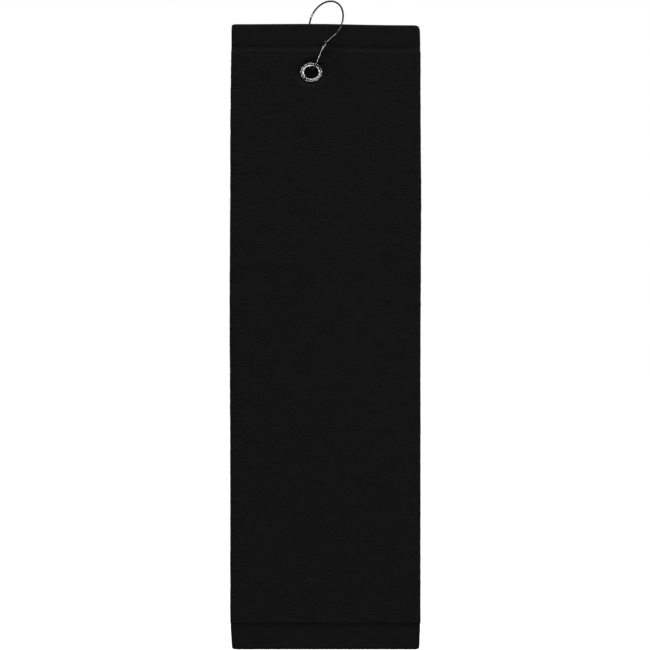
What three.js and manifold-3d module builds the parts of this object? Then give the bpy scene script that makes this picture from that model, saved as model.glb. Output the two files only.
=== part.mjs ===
// A hanging golf towel: a 500 x 300 mm black terry cloth with its two sides folded behind it, a
// nickel-plated eyelet near the top edge, and a pear-shaped wire hook that carries it.
//
// Millimetres, +Z up, front of the towel towards -Y. The origin is the inside of the top of the
// hook, the point that rests on the bag ring or peg that holds the towel up. Everything below it
// is placed from there: the hook, then the eyelet on the hook's bottom bend, then the cloth.
import * as THREE from 'three';
import { mergeVertices } from 'three/addons/utils/BufferGeometryUtils.js';
import Module from 'manifold-3d';

const wasm = await Module();
wasm.setup();

// ---- driving dimensions -------------------------------------------------------------------

// cloth
const CUT_WIDTH = 300;            // the cloth laid open, across
const CUT_LENGTH = 500;           // the cloth laid open, top to bottom
const TERRY_THICKNESS = 3.0;      // pile on both faces
const LAYER_GAP = 3.0;            // air between the front panel and the sides folded behind it
const FREE_EDGE_GAP = 6.0;        // between the two side hems, which meet behind the middle
const END_HEM_HEIGHT = 20;        // top and bottom hems
const SIDE_HEM_WIDTH = 10;        // hems along the two free edges
const HEM_THICKNESS = 2.4;        // flat woven band, turned over twice
const HEM_PINCH = 1.2;            // how far a hem draws each folded side in
const HEM_PINCH_REACH = 60;       // how far into the terry that draw is felt
const HEM_SEAM_FROM_EDGE = 2;     // sewing line, in from the hem's inner edge
const THREAD_WIDTH = 0.7;
const THREAD_THICKNESS = 0.3;
const LABEL_WIDTH = 24;
const LABEL_LENGTH = 34;
const LABEL_THICKNESS = 0.4;
const LABEL_ABOVE_HEM = 30;
const LABEL_FROM_SIDE_HEM = 1.0;

// eyelet
const EYELET_HOLE_RADIUS = 5.6;   // half its width
const EYELET_FLANGE_RADIUS = 8.6; // half its width
const EYELET_TALL = 0.88;         // the ring's height over its width: it is slightly oval
const EYELET_SHEET = 0.45;
const EYELET_GRIP = 1.5;          // between the two flanges, over the crushed cloth
const EYELET_RIM_RISE = 0.3;      // how far the rolled rim stands above the front flange
const EYELET_BELOW_TOP = 38.9;    // eyelet centre, down from the towel's top edge
const EYELET_FROM_MIDDLE = -11.2;  // eyelet centre, across from the middle of the towel
const WASHER_SHEET = 0.35;
const CRUSH_REACH = 4;            // the pile recovers its height over this distance
const CRUSH_LIP = 0.1;            // the seat's cutter stands this far off the pile where it starts

// hook, with the sizes of its loop as seen from the front
const WIRE_DIAMETER = 1.4;
const HEAD_HALF_WIDTH = 12.6;
const HEAD_HALF_HEIGHT = 16.8;
const HEAD_TILT = THREE.MathUtils.degToRad(9);     // the head's oval against the hook's length
const HOOK_LEAN = THREE.MathUtils.degToRad(17);    // the hook's length against the vertical
const NECK_LENGTH = 36.6;         // middle of the head to middle of the bottom bend
const BEND_HALF_WIDTH = 2.3;
const BEND_HEIGHT = 3.9;
const HEAD_TURN = THREE.MathUtils.degToRad(20);    // the head's right side comes forward
const LATCH_ACROSS = 4.1;         // where the spring arm ends, from the middle of the head
const LATCH_DOWN = 18.7;
const ARM_START = THREE.MathUtils.degToRad(48);    // where on the head the spring arm begins
const ARM_PAST_LATCH = 0.4;
const CROOK_UP_ARM = 1.6;         // the crook's middle, up the arm from its end
const CROOK_REACH = THREE.MathUtils.degToRad(150);
const CROOK_APPROACH = 1.2;       // how straight the leg runs into its crook
const LEG_ENDS_BELOW_LATCH = 3.5;

// clearances
const TOUCH = 0.3;                // between pieces that touch
const SEAT_ROOM = 1.35;           // the bend's inside to the eyelet's inner edge, at its corners
const BEND_ROOM = 0.65;           // the hook's legs to the eyelet's two faces
const CROOK_ROOM = 0.4;           // the crook's inside to the arm
const BULGE_ROOM = 0.9;           // the sides stand off the hook's back leg by this much more

// ---- sizes that follow --------------------------------------------------------------------

const wireRadius = WIRE_DIAMETER / 2;
const foldRadius = (TERRY_THICKNESS + LAYER_GAP) / 2;
const halfFlat = (CUT_WIDTH / 2 - Math.PI * foldRadius + FREE_EDGE_GAP / 2) / 2;
const foldedWidth = 2 * (halfFlat + foldRadius + TERRY_THICKNESS / 2);
const quarterTurn = foldRadius * Math.PI / 2;
const creaseAt = halfFlat + quarterTurn;
const cutEdgeAt = CUT_WIDTH / 2;
const terryTop = END_HEM_HEIGHT + TOUCH;
const terryBottom = CUT_LENGTH - END_HEM_HEIGHT - TOUCH;
const sideHemFrom = cutEdgeAt - SIDE_HEM_WIDTH;
const rimHeight = EYELET_GRIP / 2 + EYELET_SHEET + EYELET_RIM_RISE;
const curlInside = EYELET_GRIP / 2 + WASHER_SHEET + TOUCH;
const curlHeight = curlInside + EYELET_SHEET;
const barrelRadius = EYELET_HOLE_RADIUS + EYELET_SHEET;
const webHalf = Math.max(rimHeight, curlHeight);
const legFromWeb = webHalf + wireRadius + BEND_ROOM;
const seatShare = Math.sqrt(1 - (webHalf / legFromWeb) ** 2);
const seatDepth = BEND_HEIGHT * seatShare - wireRadius - SEAT_ROOM;

// ---- hook frame -----------------------------------------------------------------------------

// Seen from the front, the loop is drawn in a frame that leans with the hook. Its depth grows
// with the distance from the hook's middle line, and more steeply towards the bottom bend, so
// that the legs pass in front of and behind the eyelet.
const acrossLoop = new THREE.Vector3(Math.cos(HOOK_LEAN), 0, -Math.sin(HOOK_LEAN));
const upLoop = new THREE.Vector3(Math.sin(HOOK_LEAN), 0, Math.cos(HOOK_LEAN));
const FRONTWARDS = new THREE.Vector3(0, -1, 0);

function depthSlope(up) {
  const downNeck = THREE.MathUtils.clamp(-up / NECK_LENGTH, 0, 1);
  return THREE.MathUtils.lerp(Math.tan(HEAD_TURN), legFromWeb / BEND_HALF_WIDTH, downNeck);
}

function fromHead(across, up) {
  return new THREE.Vector3()
    .addScaledVector(acrossLoop, across)
    .addScaledVector(upLoop, up)
    .addScaledVector(FRONTWARDS, across * depthSlope(up));
}

function onHead(angle) {
  return new THREE.Vector2(HEAD_HALF_WIDTH * Math.cos(angle), HEAD_HALF_HEIGHT * Math.sin(angle))
    .rotateAround(new THREE.Vector2(), -HEAD_TILT);
}

function onBend(angle) {
  return new THREE.Vector2(
    BEND_HALF_WIDTH * Math.cos(angle),
    -NECK_LENGTH + BEND_HEIGHT * Math.sin(angle),
  );
}

// The angle on the head's oval where a line from a point outside it touches it.
function touchAngle(point, side) {
  const level = point.clone().rotateAround(new THREE.Vector2(), HEAD_TILT);
  const x = level.x / HEAD_HALF_WIDTH;
  const y = level.y / HEAD_HALF_HEIGHT;
  return Math.atan2(y, x) + side * Math.acos(1 / Math.hypot(x, y));
}

// The hang point is under the highest point of the head's wire.
const headRounds = Array.from({ length: 721 }, (_, i) => onHead(Math.PI * i / 720));
const headTop = headRounds
  .map(({ x, y }) => fromHead(x, y))
  .reduce((best, point) => (point.z > best.z ? point : best));
const headMiddle = new THREE.Vector3(0, 0, wireRadius).sub(headTop);
const inLoop = ({ x, y }) => fromHead(x, y).add(headMiddle);
const bendMiddle = inLoop(new THREE.Vector2(0, -NECK_LENGTH));

// ---- towel placement ------------------------------------------------------------------------

const eyeletCentre = new THREE.Vector3(
  bendMiddle.x - upLoop.x * BEND_HEIGHT,
  bendMiddle.y,
  bendMiddle.z - seatDepth * upLoop.z - EYELET_HOLE_RADIUS * EYELET_TALL,
);
const towelMiddle = eyeletCentre.x - EYELET_FROM_MIDDLE;
const towelTop = eyeletCentre.z + EYELET_BELOW_TOP;
const frontPanelY = eyeletCentre.y;

// ---- small helpers --------------------------------------------------------------------------

function finish(slot, color, roughness, metalness) {
  return { name: slot, color, roughness, metalness };
}

const BLACK_TERRY = finish('terry', 0x161616, 0.95, 0);
const BLACK_HEM = finish('hem', 0x131313, 0.9, 0);
const BLACK_THREAD = finish('thread', 0x1b1b1b, 0.7, 0);
const NICKEL = finish('nickel', 0xb9babd, 0.22, 1);
const WHITE_TAPE = finish('label_tape', 0xd9d9d6, 0.75, 0);

const towel = new THREE.Group();

function addPiece(name, geometry, look) {
  const material = new THREE.MeshStandardMaterial(look);
  const piece = new THREE.Mesh(geometry, material);
  piece.name = name;
  towel.add(piece);
  return piece;
}

// Merges a shape's shared vertices and turns its faces outwards.
function closedShape(geometry) {
  const bare = geometry.clone();
  bare.deleteAttribute('normal');
  bare.deleteAttribute('uv');
  const merged = mergeVertices(bare, 1e-4);
  const place = merged.getAttribute('position');
  const faces = [];
  let volume = 0;
  const a = new THREE.Vector3();
  const b = new THREE.Vector3();
  const c = new THREE.Vector3();
  for (let f = 0; f < merged.index.count; f += 3) {
    const corner = [merged.index.getX(f), merged.index.getX(f + 1), merged.index.getX(f + 2)];
    if (corner[0] === corner[1] || corner[1] === corner[2] || corner[2] === corner[0]) continue;
    a.fromBufferAttribute(place, corner[0]);
    b.fromBufferAttribute(place, corner[1]);
    c.fromBufferAttribute(place, corner[2]);
    volume += a.dot(b.cross(c));
    faces.push(corner);
  }
  const index = volume < 0 ? faces.map(([p, q, r]) => [p, r, q]) : faces;
  merged.setIndex(index.flat());
  return merged;
}

function toSolid(geometry) {
  const merged = closedShape(geometry);
  return new wasm.Manifold(new wasm.Mesh({
    numProp: 3,
    vertProperties: new Float32Array(merged.getAttribute('position').array),
    triVerts: new Uint32Array(merged.index.array),
  }));
}

function fromSolid(solid) {
  const mesh = solid.getMesh();
  const geometry = new THREE.BufferGeometry();
  geometry.setAttribute('position', new THREE.BufferAttribute(mesh.vertProperties, 3));
  geometry.setIndex(new THREE.BufferAttribute(mesh.triVerts, 1));
  geometry.computeVertexNormals();
  return geometry;
}

function smoothFall(distance, reach) {
  const part = THREE.MathUtils.clamp(distance / reach, 0, 1);
  return 0.5 + 0.5 * Math.cos(Math.PI * part);
}

// ---- cloth ----------------------------------------------------------------------------------

// The sides stand back at the top, where the hook's back leg goes up between the layers.
const backFoot = onBend(-Math.PI);
const backMeetsHead = touchAngle(backFoot, -1) + 2 * Math.PI;
const backLeg = Array.from({ length: 101 }, (_, i) => {
  const share = i / 100;
  return inLoop(backFoot.clone().lerp(onHead(backMeetsHead), share));
}).filter((point) => point.z < towelTop);
const legAtTopEdge = backLeg.at(-1);
const legFurthestBack = Math.max(...backLeg.map((point) => point.y));
const legBehindPanel = legFurthestBack - frontPanelY + wireRadius + BULGE_ROOM;
const bulgeDepth = Math.max(0, legBehindPanel - TERRY_THICKNESS / 2 - LAYER_GAP);
const BULGE_HALF_WIDTH = 20;      // full depth this far to each side of the back leg
const BULGE_FADE = 34;            // and gone this much further out
const BULGE_HEIGHT = 130;

function bulge(x, down) {
  const aside = Math.abs(x - legAtTopEdge.x) - BULGE_HALF_WIDTH;
  return bulgeDepth * smoothFall(aside, BULGE_FADE) * smoothFall(down, BULGE_HEIGHT);
}

function pinch(down) {
  const fromEnd = Math.min(down, CUT_LENGTH - down);
  return HEM_PINCH * smoothFall(fromEnd, HEM_PINCH_REACH);
}

// Where a point of the cut cloth lies once folded: across is measured on the cloth from its
// middle, down from its top edge. Returns the middle of the thickness and the outward direction.
function folded(across, down) {
  const side = Math.sign(across) || 1;
  const past = Math.abs(across) - halfFlat;
  const turn = THREE.MathUtils.clamp(past / foldRadius, 0, Math.PI);
  const behind = Math.max(0, past - Math.PI * foldRadius);
  const reach = past < 0 ? Math.abs(across) : halfFlat + foldRadius * Math.sin(turn) - behind;
  const drawn = 1 - pinch(down) / (foldedWidth / 2);
  const x = towelMiddle + side * reach * drawn;
  const hidden = smoothFall(Math.PI - turn, Math.PI / 2);
  return {
    point: new THREE.Vector3(
      x,
      frontPanelY + foldRadius * (1 - Math.cos(turn)) + hidden * bulge(x, down),
      towelTop - down,
    ),
    outward: new THREE.Vector3(side * Math.sin(turn), -Math.cos(turn), 0),
  };
}

function stops(from, to, step, wanted) {
  const count = Math.max(1, Math.round((to - from) / step));
  const even = Array.from({ length: count + 1 }, (_, i) => from + (to - from) * i / count);
  const kept = even.filter((at) => wanted.every((w) => Math.abs(w - at) > step / 3));
  const inside = wanted.filter((w) => w > from && w < to);
  return [...new Set([from, ...kept, ...inside, to])].sort((p, q) => p - q);
}

const TURN_STEPS = 5;             // facets in a quarter of a fold
const CURVED_STEP = 13;           // rows where the cloth bulges or is drawn in
const PLAIN_STEP = 70;            // rows elsewhere
const turnStops = [-1, 1].flatMap((side) => Array.from(
  { length: 2 * TURN_STEPS + 1 },
  (_, i) => side * (halfFlat + quarterTurn * i / TURN_STEPS),
));

const downStops = [
  ...stops(0, BULGE_HEIGHT, CURVED_STEP, []),
  ...stops(CUT_LENGTH - HEM_PINCH_REACH, CUT_LENGTH, CURVED_STEP, []),
];

// A piece of the cloth with straight edges on the cut, offset outwards from the cloth's middle.
function clothPiece({ from, to, top, bottom, thickness, offset = 0, acrossStep }) {
  const across = stops(from, to, acrossStep, turnStops);
  const down = stops(top, bottom, PLAIN_STEP, downStops);
  const rows = down.length;
  const corners = [];
  for (const side of [1, -1]) {
    for (const a of across) {
      for (const d of down) {
        const { point, outward } = folded(a, d);
        point.addScaledVector(outward, offset + side * thickness / 2);
        corners.push(point.x, point.y, point.z);
      }
    }
  }
  const sheet = across.length * rows;
  const outer = (i, j) => i * rows + j;
  const inner = (i, j) => sheet + i * rows + j;
  const faces = [];
  const quad = (a, b, c, d) => faces.push(a, b, c, a, c, d);
  const last = across.length - 1;
  const foot = rows - 1;
  for (let i = 0; i < last; i += 1) {
    for (let j = 0; j < foot; j += 1) {
      quad(outer(i, j), outer(i, j + 1), outer(i + 1, j + 1), outer(i + 1, j));
      quad(inner(i, j), inner(i + 1, j), inner(i + 1, j + 1), inner(i, j + 1));
    }
    quad(outer(i, 0), outer(i + 1, 0), inner(i + 1, 0), inner(i, 0));
    quad(outer(i, foot), inner(i, foot), inner(i + 1, foot), outer(i + 1, foot));
  }
  for (let j = 0; j < foot; j += 1) {
    quad(outer(0, j), inner(0, j), inner(0, j + 1), outer(0, j + 1));
    quad(outer(last, j), outer(last, j + 1), inner(last, j + 1), inner(last, j));
  }
  const geometry = new THREE.BufferGeometry();
  geometry.setAttribute('position', new THREE.Float32BufferAttribute(corners, 3));
  geometry.setIndex(faces);
  geometry.computeVertexNormals();
  return geometry;
}

// The three parts of the width: the front panel between the creases, and a side past each.
const FRONT = { from: -creaseAt + TOUCH, to: creaseAt - TOUCH };
const WIDTHS = {
  left_flap: { from: -cutEdgeAt, to: -creaseAt - TOUCH },
  right_flap: { from: creaseAt + TOUCH, to: cutEdgeAt },
};
const FLAT_STEP = 14;
const FLAP_STEP = 8;

// A profile turned round the eyelet's own line, which runs front to back.
function latheAlongY(profile, segments) {
  const points = profile.map(([radius, y]) => new THREE.Vector2(radius, y));
  return new THREE.LatheGeometry(points, segments).scale(1, 1, EYELET_TALL);
}

const ROUND_STEPS = 40;

// The room that the eyelet takes in the cloth: its hole, its crushed seat and the slope around it.
function eyeletSeat() {
  const hole = barrelRadius + TOUCH;
  const seat = EYELET_FLANGE_RADIUS + TOUCH;
  const slope = seat + CRUSH_REACH;
  const crushed = EYELET_GRIP / 2 - TOUCH;
  const face = TERRY_THICKNESS / 2 + CRUSH_LIP;
  const beyond = TERRY_THICKNESS;
  const profile = [
    [0, -beyond], [slope, -beyond], [slope, -face], [seat, -crushed], [hole, -crushed],
    [hole, crushed], [seat, crushed], [slope, face], [slope, beyond], [0, beyond],
  ];
  const shape = latheAlongY(profile, ROUND_STEPS);
  shape.translate(eyeletCentre.x, eyeletCentre.y, eyeletCentre.z);
  return shape;
}

function addFrontPanel() {
  const sheet = clothPiece({
    ...FRONT,
    top: terryTop,
    bottom: terryBottom,
    thickness: TERRY_THICKNESS,
    acrossStep: FLAT_STEP,
  });
  const pierced = toSolid(sheet).subtract(toSolid(eyeletSeat()));
  addPiece('front_panel', fromSolid(pierced), BLACK_TERRY);
}

function addFlap(name) {
  const side = Math.sign(WIDTHS[name].to + WIDTHS[name].from);
  const hemEdge = side * (sideHemFrom - TOUCH);
  const range = side < 0
    ? { from: hemEdge, to: WIDTHS[name].to }
    : { from: WIDTHS[name].from, to: hemEdge };
  addPiece(name, clothPiece({
    ...range,
    top: terryTop,
    bottom: terryBottom,
    thickness: TERRY_THICKNESS,
    acrossStep: FLAP_STEP,
  }), BLACK_TERRY);
}

// A sewing line lies on the hem's outer face, in from the edge that meets the terry.
function addEndHem(name, range, isTop, acrossStep) {
  const top = isTop ? 0 : CUT_LENGTH - END_HEM_HEIGHT;
  const bottom = top + END_HEM_HEIGHT;
  const seam = isTop ? bottom - HEM_SEAM_FROM_EDGE : top + HEM_SEAM_FROM_EDGE;
  const common = { ...range, acrossStep };
  addPiece(name, clothPiece({
    ...common,
    top,
    bottom,
    thickness: HEM_THICKNESS,
  }), BLACK_HEM);
  addPiece(`${name}_stitching`, clothPiece({
    ...common,
    top: seam - THREAD_WIDTH / 2,
    bottom: seam + THREAD_WIDTH / 2,
    thickness: THREAD_THICKNESS,
    offset: HEM_THICKNESS / 2 + TOUCH + THREAD_THICKNESS / 2,
  }), BLACK_THREAD);
}

function addSideHem(name, side) {
  const between = (near, far) => (side < 0 ? { from: -far, to: -near } : { from: near, to: far });
  const seam = sideHemFrom + HEM_SEAM_FROM_EDGE;
  addPiece(name, clothPiece({
    ...between(sideHemFrom, cutEdgeAt),
    top: terryTop,
    bottom: terryBottom,
    thickness: HEM_THICKNESS,
    acrossStep: SIDE_HEM_WIDTH,
  }), BLACK_HEM);
  addPiece(`${name}_stitching`, clothPiece({
    ...between(seam - THREAD_WIDTH / 2, seam + THREAD_WIDTH / 2),
    top: terryTop,
    bottom: terryBottom,
    thickness: THREAD_THICKNESS,
    offset: HEM_THICKNESS / 2 + TOUCH + THREAD_THICKNESS / 2,
    acrossStep: THREAD_WIDTH,
  }), BLACK_THREAD);
}

// A blank care label lies on the right side's outer face, its inner edge sewn by the side hem.
function addCareLabel() {
  const inner = sideHemFrom - TOUCH - LABEL_FROM_SIDE_HEM;
  const bottom = CUT_LENGTH - END_HEM_HEIGHT - LABEL_ABOVE_HEM;
  addPiece('care_label', clothPiece({
    from: inner - LABEL_WIDTH,
    to: inner,
    top: bottom - LABEL_LENGTH,
    bottom,
    thickness: LABEL_THICKNESS,
    offset: TERRY_THICKNESS / 2 + TOUCH + LABEL_THICKNESS / 2,
    acrossStep: LABEL_WIDTH,
  }), WHITE_TAPE);
}

// ---- eyelet ---------------------------------------------------------------------------------

// The front half: a flange with a rolled rim, and a barrel whose end is curled over the washer.
function addEyeletFace() {
  const flange = EYELET_GRIP / 2;
  const rimRadius = (EYELET_HOLE_RADIUS + barrelRadius) / 2 + EYELET_SHEET;
  const grooveRadius = rimRadius + 2 * EYELET_SHEET;
  const curlEnd = barrelRadius + 3 * EYELET_SHEET;
  addPiece('eyelet_face', closedShape(latheAlongY([
    [EYELET_HOLE_RADIUS, curlHeight - EYELET_SHEET],
    [EYELET_HOLE_RADIUS, -flange - EYELET_SHEET / 2],
    [EYELET_HOLE_RADIUS + EYELET_SHEET / 3, -rimHeight + EYELET_SHEET / 3],
    [rimRadius, -rimHeight],
    [grooveRadius - EYELET_SHEET / 2, -rimHeight + EYELET_SHEET / 4],
    [grooveRadius, -flange - EYELET_SHEET * 0.75],
    [grooveRadius + EYELET_SHEET / 2, -flange - EYELET_SHEET],
    [EYELET_FLANGE_RADIUS - EYELET_SHEET / 3, -flange - EYELET_SHEET],
    [EYELET_FLANGE_RADIUS, -flange - EYELET_SHEET / 2],
    [EYELET_FLANGE_RADIUS, -flange],
    [barrelRadius, -flange],
    [barrelRadius, curlInside],
    [curlEnd, curlInside],
    [curlEnd, curlInside + EYELET_SHEET / 2],
    [curlEnd - EYELET_SHEET, curlHeight],
    [barrelRadius, curlHeight],
    [EYELET_HOLE_RADIUS + EYELET_SHEET / 3, curlHeight - EYELET_SHEET / 3],
    [EYELET_HOLE_RADIUS, curlHeight - EYELET_SHEET],
  ], ROUND_STEPS)).translate(eyeletCentre.x, eyeletCentre.y, eyeletCentre.z), NICKEL);
}

function addEyeletWasher() {
  const near = EYELET_GRIP / 2;
  const far = near + WASHER_SHEET;
  const inner = barrelRadius + TOUCH;
  addPiece('eyelet_washer', closedShape(latheAlongY([
    [inner, near],
    [EYELET_FLANGE_RADIUS, near],
    [EYELET_FLANGE_RADIUS, far - WASHER_SHEET / 3],
    [EYELET_FLANGE_RADIUS - WASHER_SHEET / 3, far],
    [inner, far],
    [inner, near],
  ], ROUND_STEPS)).translate(eyeletCentre.x, eyeletCentre.y, eyeletCentre.z), NICKEL);
}

// ---- hook -----------------------------------------------------------------------------------

const WIRE_SIDES = 8;
const WIRE_STEP = 1.4;

function wireAlong(pieces) {
  const path = new THREE.CurvePath();
  pieces.forEach((piece) => path.add(piece));
  const section = new THREE.Shape();
  section.absarc(0, 0, wireRadius, 0, 2 * Math.PI, false);
  return closedShape(new THREE.ExtrudeGeometry(section, {
    steps: Math.round(path.getLength() / WIRE_STEP),
    curveSegments: WIRE_SIDES,
    bevelEnabled: false,
    extrudePath: path,
  }));
}

// A curve drawn as seen from the front, given its depth.
class LoopCurve extends THREE.Curve {
  constructor(drawn, start, end) {
    super();
    Object.assign(this, { drawn, start, end });
  }

  getPoint(t) {
    return inLoop(this.drawn(THREE.MathUtils.lerp(this.start, this.end, t)));
  }
}

function straight(from, to) {
  return new LoopCurve((t) => from.clone().lerp(to, t), 0, 1);
}

// The spring arm: from the right of the head, round it and down to the latch, where it lies in
// front of the leg by the crook's radius.
const latch = new THREE.Vector2(LATCH_ACROSS, -LATCH_DOWN);
const armLeavesHead = touchAngle(latch, 1);
const armTurn = (TOUCH / 2) / HEAD_HALF_WIDTH;
const crookRadius = 2 * wireRadius + CROOK_ROOM;
const armFrom = inLoop(onHead(armLeavesHead));
const armTo = inLoop(latch).addScaledVector(FRONTWARDS, crookRadius);
const armDirection = armTo.clone().sub(armFrom).normalize();
const overArm = FRONTWARDS.clone().addScaledVector(armDirection, -FRONTWARDS.dot(armDirection)).normalize();
const insideArm = new THREE.Vector3().crossVectors(armDirection, overArm);

function addSpringArm() {
  const tip = armTo.clone().addScaledVector(armDirection, ARM_PAST_LATCH);
  addPiece('hook_spring_arm', wireAlong([
    new LoopCurve(onHead, ARM_START - armTurn, armLeavesHead),
    new THREE.LineCurve3(armFrom, tip),
  ]), NICKEL);
}

// The crook curls round the arm's end, from behind it, past the side that faces into the loop, to
// its front. The arm springs in against it.
class Crook extends THREE.Curve {
  getPoint(t) {
    const angle = -Math.PI / 2 + CROOK_REACH * (1 - t);
    return armTo.clone()
      .addScaledVector(armDirection, -CROOK_UP_ARM)
      .addScaledVector(insideArm, crookRadius * Math.cos(angle))
      .addScaledVector(overArm, crookRadius * Math.sin(angle));
  }
}

// The body of the hook: the crook, the front leg, the bottom bend through the eyelet, the back
// leg, and the head up to where the spring arm begins.
function addBodyWire() {
  const frontFoot = onBend(0);
  const legSlope = latch.clone().sub(frontFoot).normalize();
  const legHead = latch.clone().addScaledVector(legSlope, -LEG_ENDS_BELOW_LATCH);
  const legTop = inLoop(legHead);
  const legDirection = inLoop(latch).sub(legTop).normalize();
  const crook = new Crook();
  const crookStart = crook.getPoint(1);
  const intoCrook = new THREE.CubicBezierCurve3(
    crookStart,
    crookStart.clone().addScaledVector(insideArm, -CROOK_APPROACH),
    legTop.clone().addScaledVector(legDirection, LEG_ENDS_BELOW_LATCH / 2),
    legTop,
  );
  addPiece('hook_body_wire', wireAlong([
    crook,
    intoCrook,
    straight(legHead, frontFoot),
    new LoopCurve(onBend, 0, -Math.PI),
    straight(backFoot, onHead(backMeetsHead)),
    new LoopCurve(onHead, backMeetsHead, ARM_START + armTurn),
  ]), NICKEL);
}

// ---- assembly -------------------------------------------------------------------------------

addBodyWire();
addSpringArm();
addEyeletFace();
addEyeletWasher();
addFrontPanel();
addEndHem('front_top_hem', FRONT, true, FLAT_STEP);
addEndHem('front_bottom_hem', FRONT, false, FLAT_STEP);
for (const name of ['left_flap', 'right_flap']) {
  addFlap(name);
  addEndHem(`${name}_top_hem`, WIDTHS[name], true, FLAP_STEP);
  addEndHem(`${name}_bottom_hem`, WIDTHS[name], false, FLAP_STEP);
}
addSideHem('left_flap_side_hem', -1);
addSideHem('right_flap_side_hem', 1);
addCareLabel();

export default towel;
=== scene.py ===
"""A hanging golf towel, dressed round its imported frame.

Metres, +Z up, front of the towel towards -Y. The origin is the inside of the top of the wire
hook. The cloth is one cut sheet of black terry with hems, folded behind itself at both sides.
It hangs by a plated eyelet from a pear-shaped hook, whose spring arm closes into a crook.
"""

import logging
import math
from dataclasses import dataclass, field
from enum import Enum
from typing import Any

import bpy
import numpy as np
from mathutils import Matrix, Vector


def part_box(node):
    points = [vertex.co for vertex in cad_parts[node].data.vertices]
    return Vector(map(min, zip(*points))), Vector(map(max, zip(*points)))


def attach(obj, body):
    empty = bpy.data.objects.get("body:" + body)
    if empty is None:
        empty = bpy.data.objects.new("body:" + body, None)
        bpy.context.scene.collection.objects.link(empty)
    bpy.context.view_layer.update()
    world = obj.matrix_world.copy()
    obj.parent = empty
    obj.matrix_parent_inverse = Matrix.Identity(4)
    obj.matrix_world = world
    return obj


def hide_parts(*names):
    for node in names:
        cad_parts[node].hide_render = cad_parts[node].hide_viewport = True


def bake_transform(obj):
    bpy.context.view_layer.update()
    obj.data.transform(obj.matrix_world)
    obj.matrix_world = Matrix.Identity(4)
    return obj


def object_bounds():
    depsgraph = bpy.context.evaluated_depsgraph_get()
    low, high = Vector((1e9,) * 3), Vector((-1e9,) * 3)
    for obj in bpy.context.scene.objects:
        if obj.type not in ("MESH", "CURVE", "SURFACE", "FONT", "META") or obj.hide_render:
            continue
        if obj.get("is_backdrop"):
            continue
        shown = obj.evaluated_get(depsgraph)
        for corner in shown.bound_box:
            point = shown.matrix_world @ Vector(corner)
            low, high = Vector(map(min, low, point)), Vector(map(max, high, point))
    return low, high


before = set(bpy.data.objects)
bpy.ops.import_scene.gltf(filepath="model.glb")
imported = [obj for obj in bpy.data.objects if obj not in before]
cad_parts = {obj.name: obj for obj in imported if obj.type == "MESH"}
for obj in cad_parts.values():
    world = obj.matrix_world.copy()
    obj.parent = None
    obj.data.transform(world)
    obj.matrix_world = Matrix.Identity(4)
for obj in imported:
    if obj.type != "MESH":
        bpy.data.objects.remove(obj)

LOG = logging.getLogger("golf_towel")
MM = 0.001
FRONTWARDS = np.array([0.0, -1.0, 0.0])
LATTICE = 1024
RING_CROWDING = 1.35


# ---- small shape functions ---------------------------------------------------------------------


def smooth_fall(distance: np.ndarray, reach: float) -> np.ndarray:
    """Falls from 1 at distance 0 to 0 at reach, along half a cosine wave."""
    return 0.5 + 0.5 * np.cos(math.pi * np.clip(distance / reach, 0.0, 1.0))


def hump(place: np.ndarray, middle: float, width: float) -> np.ndarray:
    """A bell of height 1 at the middle: e to the minus square of the distance over the width."""
    return np.exp(-(((place - middle) / width) ** 2))


def rounded(distance: np.ndarray, reach: float, least: float = 0.3) -> np.ndarray:
    """A quarter circle that rises from least at an edge to 1 at the reach.

    Args:
        distance: how far in from the edge, in metres.
        reach: how wide the rounding is.
        least: the share of the full thickness left at the edge itself.

    Returns:
        The share of the full thickness at each distance.
    """
    out = 1.0 - np.clip(distance / reach, 0.0, 1.0)
    return least + (1.0 - least) * np.sqrt(1.0 - out**2)


def soft_noise(u: np.ndarray, v: np.ndarray, cell: float, seed: int) -> np.ndarray:
    """Random heights on a square lattice, joined by smooth steps.

    Args:
        u: first place on the cloth, in metres.
        v: second place on the cloth, in metres.
        cell: the lattice's spacing, in metres.
        seed: which lattice.

    Returns:
        A value from -1 to 1 at each place: the same for every piece of one cloth.
    """
    lattice = np.random.default_rng(seed).uniform(-1.0, 1.0, (LATTICE, LATTICE))
    x, y = u / cell + 300.0, v / cell + 30.0
    i, j = np.floor(x).astype(int), np.floor(y).astype(int)
    s, t = x - i, y - j
    s, t = s * s * (3.0 - 2.0 * s), t * t * (3.0 - 2.0 * t)
    i, j, k, m = (number % LATTICE for number in (i, j, i + 1, j + 1))
    near = lattice[i, j] * (1.0 - s) + lattice[k, j] * s
    far = lattice[i, m] * (1.0 - s) + lattice[k, m] * s
    return near * (1.0 - t) + far * t


def lines(*stops: float, step: float) -> np.ndarray:
    """Evenly spaced grid lines from stop to stop, no further apart than the step."""
    spans = [
        np.linspace(a, b, max(1, math.ceil((b - a) / step - 1e-9)) + 1)[:-1]
        for a, b in zip(stops, stops[1:])
    ]
    return np.concatenate([*spans, [stops[-1]]])


def circle(count: int) -> np.ndarray:
    """Evenly spaced angles round a full turn."""
    return np.linspace(0.0, 2.0 * math.pi, count, endpoint=False)


def unit(vector: np.ndarray) -> np.ndarray:
    """A vector, or each row of an array of them, at length 1."""
    return vector / np.linalg.norm(vector, axis=-1, keepdims=True)


def way_along(route: np.ndarray) -> np.ndarray:
    """How far along a route each of its points lies."""
    steps = np.linalg.norm(np.diff(route, axis=0), axis=1)
    return np.concatenate([[0.0], np.cumsum(steps)])


def paired(first: np.ndarray, second: np.ndarray, shape: tuple[int, ...]) -> np.ndarray:
    """Two grids of values, spread to one shape, as rows of two."""
    spread = [np.broadcast_to(values, shape).ravel() for values in (first, second)]
    return np.stack(spread, axis=-1)


# ---- meshes ------------------------------------------------------------------------------------


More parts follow.
